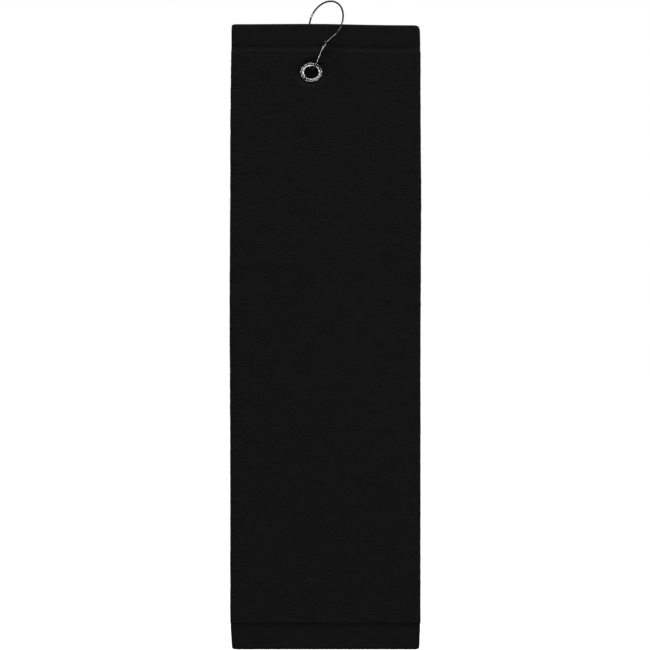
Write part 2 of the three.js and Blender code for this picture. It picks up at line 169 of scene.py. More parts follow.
def make_piece(
    name: str,
    corners: np.ndarray,
    faces: list[np.ndarray],
    places: np.ndarray,
    crease: float = 50.0,
) -> bpy.types.Object:
    """Puts corners and faces into a mesh object that stands at the origin.

    Args:
        name: the piece's name.
        corners: (n, 3) points in metres.
        faces: arrays of corner numbers, one row per face, each array of one corner count.
        places: (n, 2) places on the cloth or metal, in metres, for the UV map.
        crease: edges that turn by more than this many degrees stay sharp.

    Returns:
        The new object.
    """
    mesh = bpy.data.meshes.new(name)
    order = np.concatenate([f.ravel() for f in faces]).astype(np.int32)
    counts = np.concatenate([np.full(len(f), f.shape[1]) for f in faces])
    mesh.vertices.add(len(corners))
    mesh.vertices.foreach_set("co", corners.astype(np.float32).ravel())
    mesh.loops.add(len(order))
    mesh.loops.foreach_set("vertex_index", order)
    mesh.polygons.add(len(counts))
    starts = np.concatenate([[0], np.cumsum(counts)[:-1]]).astype(np.int32)
    mesh.polygons.foreach_set("loop_start", starts)
    mesh.update(calc_edges=True)
    uv = mesh.uv_layers.new(name="cloth")
    uv.data.foreach_set("uv", places[order].astype(np.float32).ravel())
    mesh.validate()
    mesh.polygons.foreach_set("use_smooth", np.ones(len(counts), dtype=bool))
    mesh.set_sharp_from_angle(angle=math.radians(crease))
    piece = bpy.data.objects.new(name, mesh)
    bpy.context.scene.collection.objects.link(piece)
    return piece


def grid_faces(rows: int, columns: int, wrap: bool = False) -> np.ndarray:
    """Four-cornered faces between the rows and columns of a grid of corners.

    Args:
        rows: how many rows of corners.
        columns: how many corners in a row.
        wrap: whether the last column joins the first.

    Returns:
        (faces, 4) corner numbers, row by row.
    """
    i = np.arange(rows - 1)[:, None]
    j = np.arange(columns if wrap else columns - 1)[None, :]
    k = (j + 1) % columns
    here, there = i * columns, (i + 1) * columns
    return np.stack([here + j, here + k, there + k, there + j], axis=-1).reshape(-1, 4)


@dataclass
class Flat:
    """A patch of the cut cloth: corners on it, and the faces between them."""

    across: np.ndarray
    down: np.ndarray
    faces: np.ndarray

    @classmethod
    def rectangle(cls, across: np.ndarray, down: np.ndarray) -> "Flat":
        """A patch whose corners lie where the across lines and down lines cross."""
        a, d = np.meshgrid(across, down, indexing="ij")
        return cls(a.ravel(), d.ravel(), grid_faces(len(across), len(down)))

    @classmethod
    def pierced(
        cls,
        across: np.ndarray,
        down: np.ndarray,
        hole: tuple[float, float],
        radius: float,
        tall: float,
        half_block: float,
        rings: int,
    ) -> "Flat":
        """A patch with an oval hole.

        The square block round the hole is filled with rings that crowd towards the hole. Each
        ring's corner lies between the block's border and the hole's edge, in the border
        corner's own direction.

        Args:
            across: the across lines, which pass through the block's two sides.
            down: the down lines, which pass through the block's top and bottom.
            hole: the hole's middle on the cloth.
            radius: half the hole's width.
            tall: the hole's height over its width.
            half_block: half the block's side.
            rings: how many rings fill the block.

        Returns:
            The patch.
        """
        whole = cls.rectangle(across, down)
        columns = len(down)
        i0, i1 = (int(np.argmin(abs(across - hole[0] - s * half_block))) for s in (-1, 1))
        j0, j1 = (int(np.argmin(abs(down - hole[1] - s * half_block))) for s in (-1, 1))
        cell_i, cell_j = np.divmod(np.arange(len(whole.faces)), columns - 1)
        inside = (cell_i >= i0) & (cell_i < i1) & (cell_j >= j0) & (cell_j < j1)
        border = np.concatenate([
            np.arange(i0, i1) * columns + j0,
            i1 * columns + np.arange(j0, j1),
            np.arange(i1, i0, -1) * columns + j1,
            i0 * columns + np.arange(j1, j0, -1),
        ])
        far = np.stack([whole.across[border], whole.down[border]], axis=-1)
        middle = np.array(hole)
        aim = far - middle
        near = middle + radius * aim / np.hypot(aim[:, :1], aim[:, 1:] / tall)
        share = (np.arange(1, rings + 1) / rings)[:, None, None]
        ring = far[None] + (near - far)[None] * (1.0 - (1.0 - share) ** RING_CROWDING)
        count = len(whole.across)
        numbers = np.concatenate([border, count + np.arange(rings * len(border))])
        bands = numbers[grid_faces(rings + 1, len(border), wrap=True)]
        corners = np.concatenate([np.stack([whole.across, whole.down], -1), ring.reshape(-1, 2)])
        faces = np.concatenate([whole.faces[~inside], bands])
        kept, renumbered = np.unique(faces, return_inverse=True)
        return cls(corners[kept, 0], corners[kept, 1], renumbered.reshape(-1, 4))

    def facing_out(self) -> np.ndarray:
        """The faces, all turned the way that faces out of the cloth's front."""
        a, d = self.across[self.faces], self.down[self.faces]
        b, e = np.roll(a, -1, axis=1), np.roll(d, -1, axis=1)
        turned = (a * e - b * d).sum(axis=1) > 0.0
        return np.where(turned[:, None], self.faces[:, ::-1], self.faces)


# ---- the folded cloth --------------------------------------------------------------------------


class Side(Enum):
    """The three parts of the folded width, and the body that carries each."""

    LEFT = "left_flap"
    FRONT = "towel"
    RIGHT = "right_flap"

    @property
    def sign(self) -> int:
        """-1 to the left of the towel's middle, 1 to its right."""
        return -1 if self is Side.LEFT else 1

    @property
    def word(self) -> str:
        """The side's name in the names of pieces."""
        return self.name.lower()


class End(Enum):
    """The towel's two hemmed ends."""

    TOP = "top"
    BOTTOM = "bottom"


@dataclass(frozen=True)
class Drape:
    """How the cut cloth lies once it is folded and hung."""

    cut_width: float = 300 * MM
    cut_length: float = 500 * MM
    terry: float = 3.0 * MM
    hem: float = 2.4 * MM
    fold_radius: float = 3.0 * MM
    half_flat: float = 71.7876 * MM
    end_hem: float = 20 * MM
    side_hem: float = 10 * MM
    middle: float = field(default_factory=lambda: sum(c.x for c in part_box("front_panel")) / 2)
    top: float = field(default_factory=lambda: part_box("front_top_hem")[1].z)
    front: float = field(default_factory=lambda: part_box("front_panel")[0].y + 1.5 * MM)
    back_leg: float = -16.55 * MM
    bulge_depth: float = 4.46 * MM
    bulge_half_width: float = 20 * MM
    bulge_fade: float = 34 * MM
    bulge_height: float = 130 * MM
    eyelet_below_top: float = 38.9 * MM
    drawn_from: float = 76 * MM
    pull: tuple[float, float] = (0.75 * MM, 0.0)
    pull_reach: float = 95 * MM
    swell: float = 0.5 * MM
    swell_at: tuple[float, float] = (235 * MM, 150 * MM)
    swell_width: tuple[float, float] = (70 * MM, 62 * MM)
    taper: tuple[float, float] = (1.25 * MM, 0.8 * MM)
    taper_reach: float = 23 * MM
    taper_power: float = 1.6
    top_corner: tuple[float, float] = (0.4 * MM, 1.9 * MM)
    top_corner_reach: float = 1.6 * MM
    bottom_corner: float = 0.35 * MM
    bottom_corner_reach: float = 0.8 * MM
    dip: tuple[float, float] = (0.3 * MM, 1.15 * MM)
    dip_width: float = 44 * MM
    dip_reach: float = 150 * MM
    lift_height: float = 1.3 * MM
    lift_reach: float = 45 * MM
    lift_wave: float = 52 * MM
    lift_phase: tuple[float, float] = (0.4, 2.2)
    ripple_height: float = 0.55 * MM
    ripple_starts: float = 90 * MM
    ripple_grows: float = 160 * MM
    ripple_across: float = 23 * MM
    ripple_down: float = 95 * MM
    ripple_sway: float = 120 * MM

    @property
    def turn_end(self) -> float:
        """How far across the cut a fold ends."""
        return self.half_flat + math.pi * self.fold_radius

    @property
    def eyelet(self) -> tuple[float, float]:
        """The eyelet's middle on the cut cloth: across from its middle, down from its top."""
        low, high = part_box("eyelet_face")
        return (low.x + high.x) / 2 - self.middle, self.eyelet_below_top

    def crease(self, side: Side) -> tuple[float, float]:
        """The fold line's x and y, on the fold's outer face."""
        reach = self.half_flat + self.fold_radius + self.terry / 2
        return self.middle + side.sign * reach, self.front + self.fold_radius

    def drawn_in(self, side: np.ndarray, down: np.ndarray) -> np.ndarray:
        """How far each folded edge is drawn in towards the middle.

        A fall from the top edge, less a low swell lower down, plus the bottom hem's taper, which
        grows with a power of the way down the hem, and the two rounded corners. In each pair of
        values the first is the left edge's and the second the right's.
        """
        left, from_bottom = side < 0, down - self.cut_length
        pull = np.where(left, *self.pull) * smooth_fall(down, self.pull_reach)
        at, width = np.where(left, *self.swell_at), np.where(left, *self.swell_width)
        on_hem = np.clip(1.0 + from_bottom / self.taper_reach, 0.0, 1.0)
        taper = np.where(left, *self.taper) * on_hem**self.taper_power
        corner = np.exp(-down / self.top_corner_reach) * np.where(left, *self.top_corner)
        corner = corner + np.exp(from_bottom / self.bottom_corner_reach) * self.bottom_corner
        return pull - self.swell * hump(down, at, width) + taper + corner

    def side_lines(
        self, side: Side, far: float, edge: float, edge_lines: tuple[float, ...], step: float
    ) -> np.ndarray:
        """Grid lines across a side: close together round its fold and at its far edge.

        Args:
            side: which side.
            far: how far across the cut the far edge lies.
            edge: how wide the far edge's rounding is.
            edge_lines: the lines in that rounding, as shares of it.
            step: the spacing of the other lines.

        Returns:
            Places across the cut, in rising order.
        """
        turn = lines(self.half_flat, self.turn_end, step=0.55 * MM)
        flat = lines(self.turn_end, far - edge, step=step)[1:]
        tip = far - edge * np.array(edge_lines)
        return np.sort(np.concatenate([turn, flat, tip]) * side.sign)

    def place(self, across: np.ndarray, down: np.ndarray) -> tuple[np.ndarray, np.ndarray]:
        """Where points of the cut cloth lie, and which way its outer face looks there.

        Across the width the cloth runs flat to the fold, round a half circle and back flat behind
        the front. Each height is drawn in a little at the sides, the top edge falls away from
        the eyelet, the sides stand back round the hook's leg, and the whole cloth has slow ripples.

        Args:
            across: places across the cut, from its middle.
            down: places down the cut, from its top edge.

        Returns:
            (n, 3) points on the middle of the thickness and (n, 3) outward directions.
        """
        side = np.where(across < 0.0, -1.0, 1.0)
        past = np.abs(across) - self.half_flat
        turn = np.clip(past / self.fold_radius, 0.0, math.pi)
        behind = np.maximum(0.0, past - math.pi * self.fold_radius)
        flat = self.half_flat + self.fold_radius * np.sin(turn) - behind
        reach = np.where(past < 0.0, np.abs(across), flat)
        reach = reach * (1.0 - self.drawn_in(side, down) / self.drawn_from)
        x = self.middle + side * reach
        hidden = smooth_fall(math.pi - turn, math.pi / 2)
        aside = np.abs(x - self.back_leg) - self.bulge_half_width
        bulge = smooth_fall(aside, self.bulge_fade) * smooth_fall(down, self.bulge_height)
        from_eyelet = x - self.middle - self.eyelet[0]
        away = 1.0 - hump(from_eyelet, 0.0, self.dip_width)
        dip = np.where(from_eyelet <= 0.0, *self.dip) * away * smooth_fall(down, self.dip_reach)
        y = self.front + self.fold_radius * (1.0 - np.cos(turn))
        y = y + hidden * (bulge * self.bulge_depth + self.lift(across, down))
        y = y + self.ripple(x, down)
        outward = np.stack([side * np.sin(turn), -np.cos(turn), np.zeros_like(x)], axis=-1)
        return np.stack([x, y, self.top - down - dip], axis=-1), outward

    def lift(self, across: np.ndarray, down: np.ndarray) -> np.ndarray:
        """How far the two free edges stand back, in slow waves, from the layer in front."""
        near_edge = smooth_fall(self.cut_width / 2 - np.abs(across), self.lift_reach)
        phase = np.where(across < 0.0, *self.lift_phase)
        wave = 0.55 + 0.45 * np.sin(down / self.lift_wave + phase)
        return self.lift_height * near_edge * wave

    def ripple(self, x: np.ndarray, down: np.ndarray) -> np.ndarray:
        """Slow ripples shared by every layer, nothing at the eyelet and fuller lower down."""
        grown = 1.0 - smooth_fall(down - self.ripple_starts, self.ripple_grows)
        wave = np.sin(x / self.ripple_across + 0.7 * np.sin(down / self.ripple_sway))
        return self.ripple_height * grown * wave * np.sin(down / self.ripple_down + 0.9)


@dataclass
class ClothMaker:
    """Turns flat patches of the cut into closed slabs with the folded cloth's shape."""

    drape: Drape
    stitch: float = 2.5 * MM
    thread: float = 0.27 * MM
    arch: float = 0.22 * MM
    stitch_lean: float = 0.12
    stitch_sunk: float = 0.05 * MM

    def slab(
        self, name: str, patch: Flat, half: np.ndarray, rough: np.ndarray, offset: float = 0.0
    ) -> bpy.types.Object:
        """Makes a closed slab.

        Each corner of the patch gives an outer point and an inner point, half a thickness out and
        in from the cloth's middle, and a wall joins them along every edge with one face.

        Args:
            name: the piece's name.
            patch: the patch of the cut.
            half: half the thickness at each corner.
            rough: how much further out the pile or yarn reaches at each corner, on both faces.
            offset: how far the slab's middle lies out from the cloth's middle.

        Returns:
            The piece.
        """
        middle, outward = self.drape.place(patch.across, patch.down)
        outer = middle + outward * (offset + half + rough)[:, None]
        inner = middle + outward * (offset - half - rough)[:, None]
        count = len(patch.across)
        faces = patch.facing_out()
        start, end = faces.ravel(), np.roll(faces, -1, axis=1).ravel()
        alone = ~np.isin(start * count + end, end * count + start)
        p, q = start[alone], end[alone]
        walls = np.stack([q, p, p + count, q + count], axis=-1)
        places = np.stack([patch.across, patch.down], axis=-1)
        return make_piece(
            name,
            np.concatenate([outer, inner]),
            [np.concatenate([faces, faces[:, ::-1] + count, walls])],
            np.concatenate([places, places]),
        )

    def stitches(
        self, name: str, across: np.ndarray, down: np.ndarray, along: int, above: float
    ) -> bpy.types.Object:
        """Makes a row of stitches on both faces of the cloth.

        A stitch is a thin thread that rises from the cloth in a low arch: its height over the
        cloth is a sine of the way along it, and its section is an ellipse that shrinks to its
        two buried ends.

        Args:
            name: the piece's name.
            across: each stitch's middle, across the cut.
            down: each stitch's middle, down the cut.
            along: 0 if the row runs across the cut, 1 if it runs down it.
            above: the cloth's half thickness under the row.

        Returns:
            The piece.
        """
        count, rows, ring = len(across), 7, 6
        s = np.linspace(0.0, 1.0, rows)[:, None]
        angle = circle(ring)[None, :]
        swell = 0.35 + 0.65 * np.sin(math.pi * s) ** 0.6
        run = (s - 0.5) * self.stitch + 0.0 * angle
        wide = self.thread * swell * np.cos(angle)
        high = self.arch * np.sin(math.pi * s) + 0.75 * self.thread * swell * np.sin(angle)
        lean = self.stitch_lean * run
        shift_a, shift_d = (run, wide + lean) if along == 0 else (wide + lean, run)
        a, d = across[:, None, None] + shift_a, down[:, None, None] + shift_d
        middle, outward = self.drape.place(a.ravel(), d.ravel())
        rise = np.broadcast_to(above - self.stitch_sunk + high, a.shape).ravel()[:, None]
        corners = np.concatenate([middle + outward * rise, middle - outward * rise])
        caps = np.stack([np.arange(ring)[::-1], (rows - 1) * ring + np.arange(ring)])
        steps = (np.arange(2 * count) * rows * ring)[:, None, None]
        mirror = slice(None, None, -1 if along == 0 else 1)
        faces = []
        for shape in (grid_faces(rows, ring, wrap=True) + steps, caps + steps):
            shape = shape[..., mirror]
            turned = np.concatenate([shape[:count], shape[count:][..., ::-1]])
            faces.append(turned.reshape(-1, shape.shape[-1]))
        places = paired(run, angle * self.thread, (2 * count, rows, ring))
        return make_piece(name, corners, faces, places)

    def carry(self, piece: bpy.types.Object, side: Side) -> None:
        """Lets a piece ride on the front; a side's piece only has its transform baked in."""
        if side is Side.FRONT:
            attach(piece, side.value)
            return
        x, y = self.drape.crease(side)
        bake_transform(piece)


# ---- finishes ----------------------------------------------------------------------------------


class Wiring:
    """Adds nodes to one node tree and joins them."""

    def __init__(self, tree: bpy.types.NodeTree) -> None:
        """Keeps the tree."""
        self.tree = tree

    def add(self, kind: str, values: dict | None = None, **settings) -> bpy.types.Node:
        """Adds a node.

        Args:
            kind: the node's type, without its ShaderNode prefix.
            values: what goes into its inputs, by name or number: a number, a colour or a socket.
            settings: the node's own properties.

        Returns:
            The node.
        """
        node = self.tree.nodes.new(kind if kind.startswith("NodeGroup") else f"ShaderNode{kind}")
        for key, value in settings.items():
            setattr(node, key, value)
        for key, value in (values or {}).items():
            self.feed(node.inputs[key], value)
        return node

    def feed(self, socket: bpy.types.NodeSocket, value: Any) -> None:
        """Joins a socket to an input, or sets the input's own value."""
        if isinstance(value, bpy.types.NodeSocket):
            self.tree.links.new(value, socket)
        else:
            socket.default_value = value

    def math(self, operation: str, *values) -> bpy.types.NodeSocket:
        """The result of a Math node."""
        return self.add("Math", dict(enumerate(values)), operation=operation).outputs[0]

    def scaled(self, vector: bpy.types.NodeSocket, by: Any) -> bpy.types.NodeSocket:
        """A vector divided by a size, so that one unit is one size."""
        share = self.math("DIVIDE", 1.0, by)
        node = self.add("VectorMath", {0: vector, "Scale": share}, operation="SCALE")
        return node.outputs[0]

    def ramp(
        self, value: Any, low: float, high: float, to_low: float = 0.0, to_high: float = 1.0
    ) -> bpy.types.NodeSocket:
        """A value carried smoothly from one range to another."""
        sockets = {"Value": value, "From Min": low, "From Max": high}
        sockets |= {"To Min": to_low, "To Max": to_high}
        return self.add("MapRange", sockets, interpolation_type="SMOOTHSTEP").outputs[0]

    def noise(
        self, vector: bpy.types.NodeSocket, scale: float, detail: float = 2.0, flat: bool = True
    ) -> bpy.types.NodeSocket:
        """The height of a Noise texture."""
        values = {"Vector": vector, "Scale": scale, "Detail": detail}
        kind = "2D" if flat else "3D"
        return self.add("TexNoise", values, noise_dimensions=kind).outputs[0]

    def wave(self, value: bpy.types.NodeSocket) -> bpy.types.NodeSocket:
        """Half sine waves, all upright, one for each unit of the value."""
        return self.math("ABSOLUTE", self.math("SINE", self.math("MULTIPLY", value, math.pi)))


def shared_group(name: str, size_word: str, size: float) -> tuple:
    """Starts a node group that lays a pattern on a surface.

    Args:
        name: the group's name.
        size_word: the name of the input that takes the pattern's size.
        size: that input's starting value.

    Returns:
        The group, its wiring, the place in units of the size, and the Height and Shade outputs.
    """
    group = bpy.data.node_groups.new(name, "ShaderNodeTree")
    sockets = (("Place", "INPUT", "Vector"), (size_word, "INPUT", "Float"),
               ("Height", "OUTPUT", "Float"), ("Shade", "OUTPUT", "Float"))
    for word, way, kind in sockets:
        made = group.interface.new_socket(name=word, in_out=way, socket_type=f"NodeSocket{kind}")
        if word == size_word:
            made.default_value = size
    w = Wiring(group)
    given, out = w.add("NodeGroupInput"), w.add("NodeGroupOutput")
    place = w.scaled(given.outputs["Place"], given.outputs[size_word])
    return group, w, place, out.inputs


def terry_pile() -> bpy.types.NodeTree:
    """Loops of pile: domes round scattered points in rows, with fine yarn, slow clumps and painted
    shade between the loops.
    """
    group, w, place, out = shared_group("terry_pile", "Loop Size", 1.6 * MM)
    stray = w.add("TexNoise", {"Vector": place, "Scale": 0.6}, noise_dimensions="2D")
    nudge = w.add("VectorMath", {0: stray.outputs[1], "Scale": 0.5}, operation="SCALE")
    moved = w.add("VectorMath", {0: place, 1: nudge.outputs[0]}, operation="ADD").outputs[0]
    scatter = {"Vector": moved, "Scale": 1.0, "Randomness": 0.7}
    cells = w.add("TexVoronoi", scatter, voronoi_dimensions="2D")
    dome = w.ramp(cells.outputs["Distance"], 0.75, 0.08)
    yarn = w.noise(moved, 5.0, 3.0)
    clump = w.noise(place, 0.11, 2.0)
    height = w.math("MULTIPLY_ADD", yarn, 0.35, dome)
    w.feed(out["Height"], w.math("MULTIPLY_ADD", clump, 0.8, height))
    # painted shade: lightest on each loop's dome and darkest between loops; the yarn and clumps add
    # random tone
    shade = w.math("MULTIPLY_ADD", dome, 0.5, w.math("MULTIPLY", yarn, 0.3))
    w.feed(out["Shade"], w.math("MULTIPLY_ADD", clump, 0.35, shade))
    return group


def plain_weave() -> bpy.types.NodeTree:
    """Yarns over and under: the sine of one direction or the other, by turns like a chessboard,
    with painted shade between the yarns.
    """
    group, w, place, out = shared_group("plain_weave", "Yarn", 0.55 * MM)
    u, v = w.add("SeparateXYZ", {0: place}).outputs[:2]
    warp, weft = w.wave(u), w.wave(v)
    turn = w.math("FLOORED_MODULO", w.math("ADD", w.math("FLOOR", u), w.math("FLOOR", v)), 2.0)
    over = w.add("Mix", {0: turn, 2: warp, 3: weft}).outputs[0]
    w.feed(out["Height"], w.math("MULTIPLY_ADD", w.noise(place, 0.8, 3.0), 0.4, over))
    slow = w.math("MULTIPLY", w.noise(place, 0.05, 2.0), 0.45)
    # painted shade: lightest on each yarn's crest and darkest in the hollows between yarns; the
    # slow noise adds random tone
    w.feed(out["Shade"], w.math("MULTIPLY_ADD", over, 0.55, slow))
    return group


def twisted_yarn() -> bpy.types.NodeTree:
    """Plies wound round a thread: a sine along a slanted direction, with painted shade between the
    plies.
    """
    group, w, place, out = shared_group("twisted_yarn", "Ply", 0.35 * MM)
    u, v = w.add("SeparateXYZ", {0: place}).outputs[:2]
    ply = w.wave(w.math("ADD", u, v))
    w.feed(out["Height"], ply)
    # painted shade: lightest on each ply's crest and darkest between plies, with random noise tone
    w.feed(out["Shade"], w.math("MULTIPLY_ADD", w.noise(place, 0.7), 0.4, ply))
    return group


def plating_wear() -> bpy.types.NodeTree:
    """Handling marks on plated metal: fine scratches over slow cloudy patches."""
    group, w, place, out = shared_group("plating_wear", "Mark Size", 1.2 * MM)
    cloud = w.noise(place, 0.35, 3.0, flat=False)
    long = w.add("Mapping", {"Vector": place, "Scale": (1.0, 9.0, 2.0)}).outputs[0]
    scratch = w.ramp(w.noise(long, 2.0, 4.0, flat=False), 0.58, 0.72)
    w.feed(out["Height"], w.math("MULTIPLY_ADD", cloud, 0.3, scratch))
    w.feed(out["Shade"], w.math("MULTIPLY_ADD", scratch, 0.35, cloud))
    return group


class Pattern(Enum):
    """The shared surface patterns. The value is the size input's name."""

    TERRY_PILE = "Loop Size"
    PLAIN_WEAVE = "Yarn"
    TWISTED_YARN = "Ply"
    PLATING_WEAR = "Mark Size"

    def group(self) -> bpy.types.NodeTree:
        """The pattern's node group, built the first time it is asked for."""
        makers = {
            Pattern.TERRY_PILE: terry_pile,
            Pattern.PLAIN_WEAVE: plain_weave,
            Pattern.TWISTED_YARN: twisted_yarn,
            Pattern.PLATING_WEAR: plating_wear,
        }
        return bpy.data.node_groups.get(self.name.lower()) or makers[self]()


@dataclass(frozen=True)
class Finish:
    """One finish: its pattern and the colours and roughnesses that the pattern moves between."""

    name: str
    slot: str
    pattern: Pattern
    size: float
    dark: tuple[float, float, float]
    light: tuple[float, float, float]
    smooth: float
    coarse: float
    relief: float
    strength: float
    metallic: float = 0.0
    specular: float = 0.5
    sheen: float = 0.0
    sheen_roughness: float = 0.5

    def material(self) -> bpy.types.Material:
        """The finish as a material, built the first time it is asked for."""
        known = bpy.data.materials.get(self.name)
        if known:
            return known
        made = bpy.data.materials.new(self.name)
        made.use_nodes = True
        w = Wiring(made.node_tree)
        shader = made.node_tree.nodes["Principled BSDF"]
        where = w.add("TexCoord")
        on_metal = self.pattern is Pattern.PLATING_WEAR
        place = where.outputs["Object" if on_metal else "UV"]
        inputs = {"Place": place, self.pattern.value: self.size}
        group = w.tree.nodes.new("ShaderNodeGroup")
        group.node_tree = self.pattern.group()
        for word, value in inputs.items():
            w.feed(group.inputs[word], value)
        height, shade = group.outputs["Height"], group.outputs["Shade"]
        # the shade output mixes the dark and light colours: on cloth, thread and tape it is partly
        # painted shade in the pattern's hollows, on the nickel it is wear and random tone
        colours = {0: shade, 6: (*self.dark, 1.0), 7: (*self.light, 1.0)}
        mixed = w.add("Mix", colours, data_type="RGBA")
        w.feed(shader.inputs["Base Color"], mixed.outputs[2])
        rough = w.ramp(shade, 0.0, 1.0, self.smooth, self.coarse)
        w.feed(shader.inputs["Roughness"], rough)
        bump = w.add("Bump", {"Height": height, "Strength": self.strength, "Distance": self.relief})
        w.feed(shader.inputs["Normal"], bump.outputs[0])
        shader.inputs["Metallic"].default_value = self.metallic
        shader.inputs["Specular IOR Level"].default_value = self.specular
        shader.inputs["Sheen Weight"].default_value = self.sheen
        shader.inputs["Sheen Roughness"].default_value = self.sheen_roughness
        return made

    def dress(self, piece: bpy.types.Object) -> bpy.types.Object:
        """Gives a piece this finish."""
        piece.data.materials.clear()
        piece.data.materials.append(self.material())
        return piece


def grey(tone: float) -> tuple[float, float, float]:
    """A colour without hue."""
    return (tone, tone, tone)


# the cloth, thread and tape finishes reach their dark colours partly as painted shade in the
# hollows of their patterns
BLACK_TERRY = Finish(
    "black_terry", "terry", Pattern.TERRY_PILE, 1.55 * MM,
    grey(0.0178), grey(0.0294), 0.95, 0.85, 0.7 * MM, 0.4,
    specular=0.12, sheen=0.03, sheen_roughness=0.5,
)
BLACK_HEM = Finish(
    "black_hem_band", "hem", Pattern.PLAIN_WEAVE, 0.6 * MM,
    grey(0.0187), grey(0.0275), 0.9, 0.8, 0.12 * MM, 0.5, specular=0.12, sheen=0.02,
)
BLACK_THREAD = Finish(
    "black_sewing_thread", "thread", Pattern.TWISTED_YARN, 0.3 * MM,
    grey(0.0150), grey(0.0230), 0.75, 0.65, 0.05 * MM, 0.6, specular=0.15,
)
WHITE_TAPE = Finish(
    "white_woven_tape", "label_tape", Pattern.PLAIN_WEAVE, 0.28 * MM,
    (0.66, 0.66, 0.64), (0.86, 0.86, 0.84), 0.7, 0.5, 0.05 * MM, 0.5, specular=0.4, sheen=0.05,
)
BRIGHT_NICKEL = Finish(
    "bright_nickel_wire", "nickel", Pattern.PLATING_WEAR, 1.4 * MM,
    (0.60, 0.60, 0.61), (0.78, 0.78, 0.79), 0.10, 0.20, 0.01 * MM, 0.25, metallic=1.0,
)
EYELET_NICKEL = Finish(
    "eyelet_nickel", "nickel", Pattern.PLATING_WEAR, 1.0 * MM,
    (0.84, 0.84, 0.85), (0.93, 0.93, 0.94), 0.08, 0.14, 0.004 * MM, 0.05, metallic=1.0,
)


# ---- cloth pieces ------------------------------------------------------------------------------


@dataclass
class Terry:
    """The three parts of the terry, between the hems."""

    maker: ClothMaker
    step: float = 1.6 * MM
    edge: float = 1.4 * MM
    edge_lines: tuple[float, ...] = (0.0, 0.12, 0.3, 0.6)
    pile_height: float = 0.16 * MM
    tuft: float = 2.3 * MM
    clump: float = 9.0 * MM
    hole_radius: float = 6.25 * MM
    seat_radius: float = 8.9 * MM
    hole_tall: float = 0.88
    crush_reach: float = 5.0 * MM
    crushed: float = 0.5 * MM
    half_block: float = 16 * MM
    rings: int = 12

    def down_lines(self) -> np.ndarray:
        """Grid lines down the cloth, close together at the two ends and round the eyelet."""
        drape = self.maker.drape
        top, bottom = drape.end_hem, drape.cut_length - drape.end_hem
        hole = drape.eyelet[1]
        near, far = hole - self.half_block, hole + self.half_block
        inner = lines(top + self.edge, near, far, bottom - self.edge, step=self.step)
        ends = self.edge * np.array(self.edge_lines)
        return np.concatenate([top + ends, inner, bottom - ends[::-1]])

    def pile(self, patch: Flat) -> np.ndarray:
        """The pile's uneven reach: small tufts over slower clumps."""
        tufts = soft_noise(patch.across, patch.down, self.tuft, 11)
        clumps = soft_noise(patch.across, patch.down, self.clump, 12)
        return self.pile_height * (0.7 * tufts + 0.5 * clumps)

    def ends_rounded(self, down: np.ndarray) -> np.ndarray:
        """The share of full thickness near the two end hems."""
        drape = self.maker.drape
        from_end = np.minimum(down - drape.end_hem, drape.cut_length - drape.end_hem - down)
        return rounded(from_end, self.edge)

    def front(self) -> bpy.types.Object:
        """The front between the folds, crushed flat under the eyelet's two flanges."""
        drape = self.maker.drape
        hole = drape.eyelet
        block = (hole[0] - self.half_block, hole[0] + self.half_block)
        across = lines(-drape.half_flat, *block, drape.half_flat, step=self.step)
        patch = Flat.pierced(
            across, self.down_lines(), hole, self.hole_radius, self.hole_tall,
            self.half_block, self.rings,
        )
        from_hole = np.hypot(patch.across - hole[0], (patch.down - hole[1]) / self.hole_tall)
        free = 1.0 - smooth_fall(from_hole - self.seat_radius, self.crush_reach)
        full = drape.terry / 2 * self.ends_rounded(patch.down)
        half = self.crushed + (full - self.crushed) * free
        return self.maker.slab("terry_front", patch, half, self.pile(patch) * free)

    def side(self, side: Side) -> bpy.types.Object:
        """A side, from the start of its fold to its side hem."""
        drape = self.maker.drape
        far = drape.cut_width / 2 - drape.side_hem
        across = drape.side_lines(side, far, self.edge, self.edge_lines, self.step)
        patch = Flat.rectangle(across, self.down_lines())
        edge_round = rounded(far - np.abs(patch.across), self.edge)
        half = drape.terry / 2 * self.ends_rounded(patch.down) * edge_round
        return self.maker.slab(f"terry_{side.word}", patch, half, self.pile(patch))

    def build(self) -> dict[Side, bpy.types.Object]:
        """Makes and dresses the three parts."""
        made = {side: self.front() if side is Side.FRONT else self.side(side) for side in Side}
        nodes = {Side.FRONT: "front_panel", Side.LEFT: "left_flap", Side.RIGHT: "right_flap"}
        for side, piece in made.items():
            BLACK_TERRY.dress(piece)
            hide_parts(nodes[side])
        return made


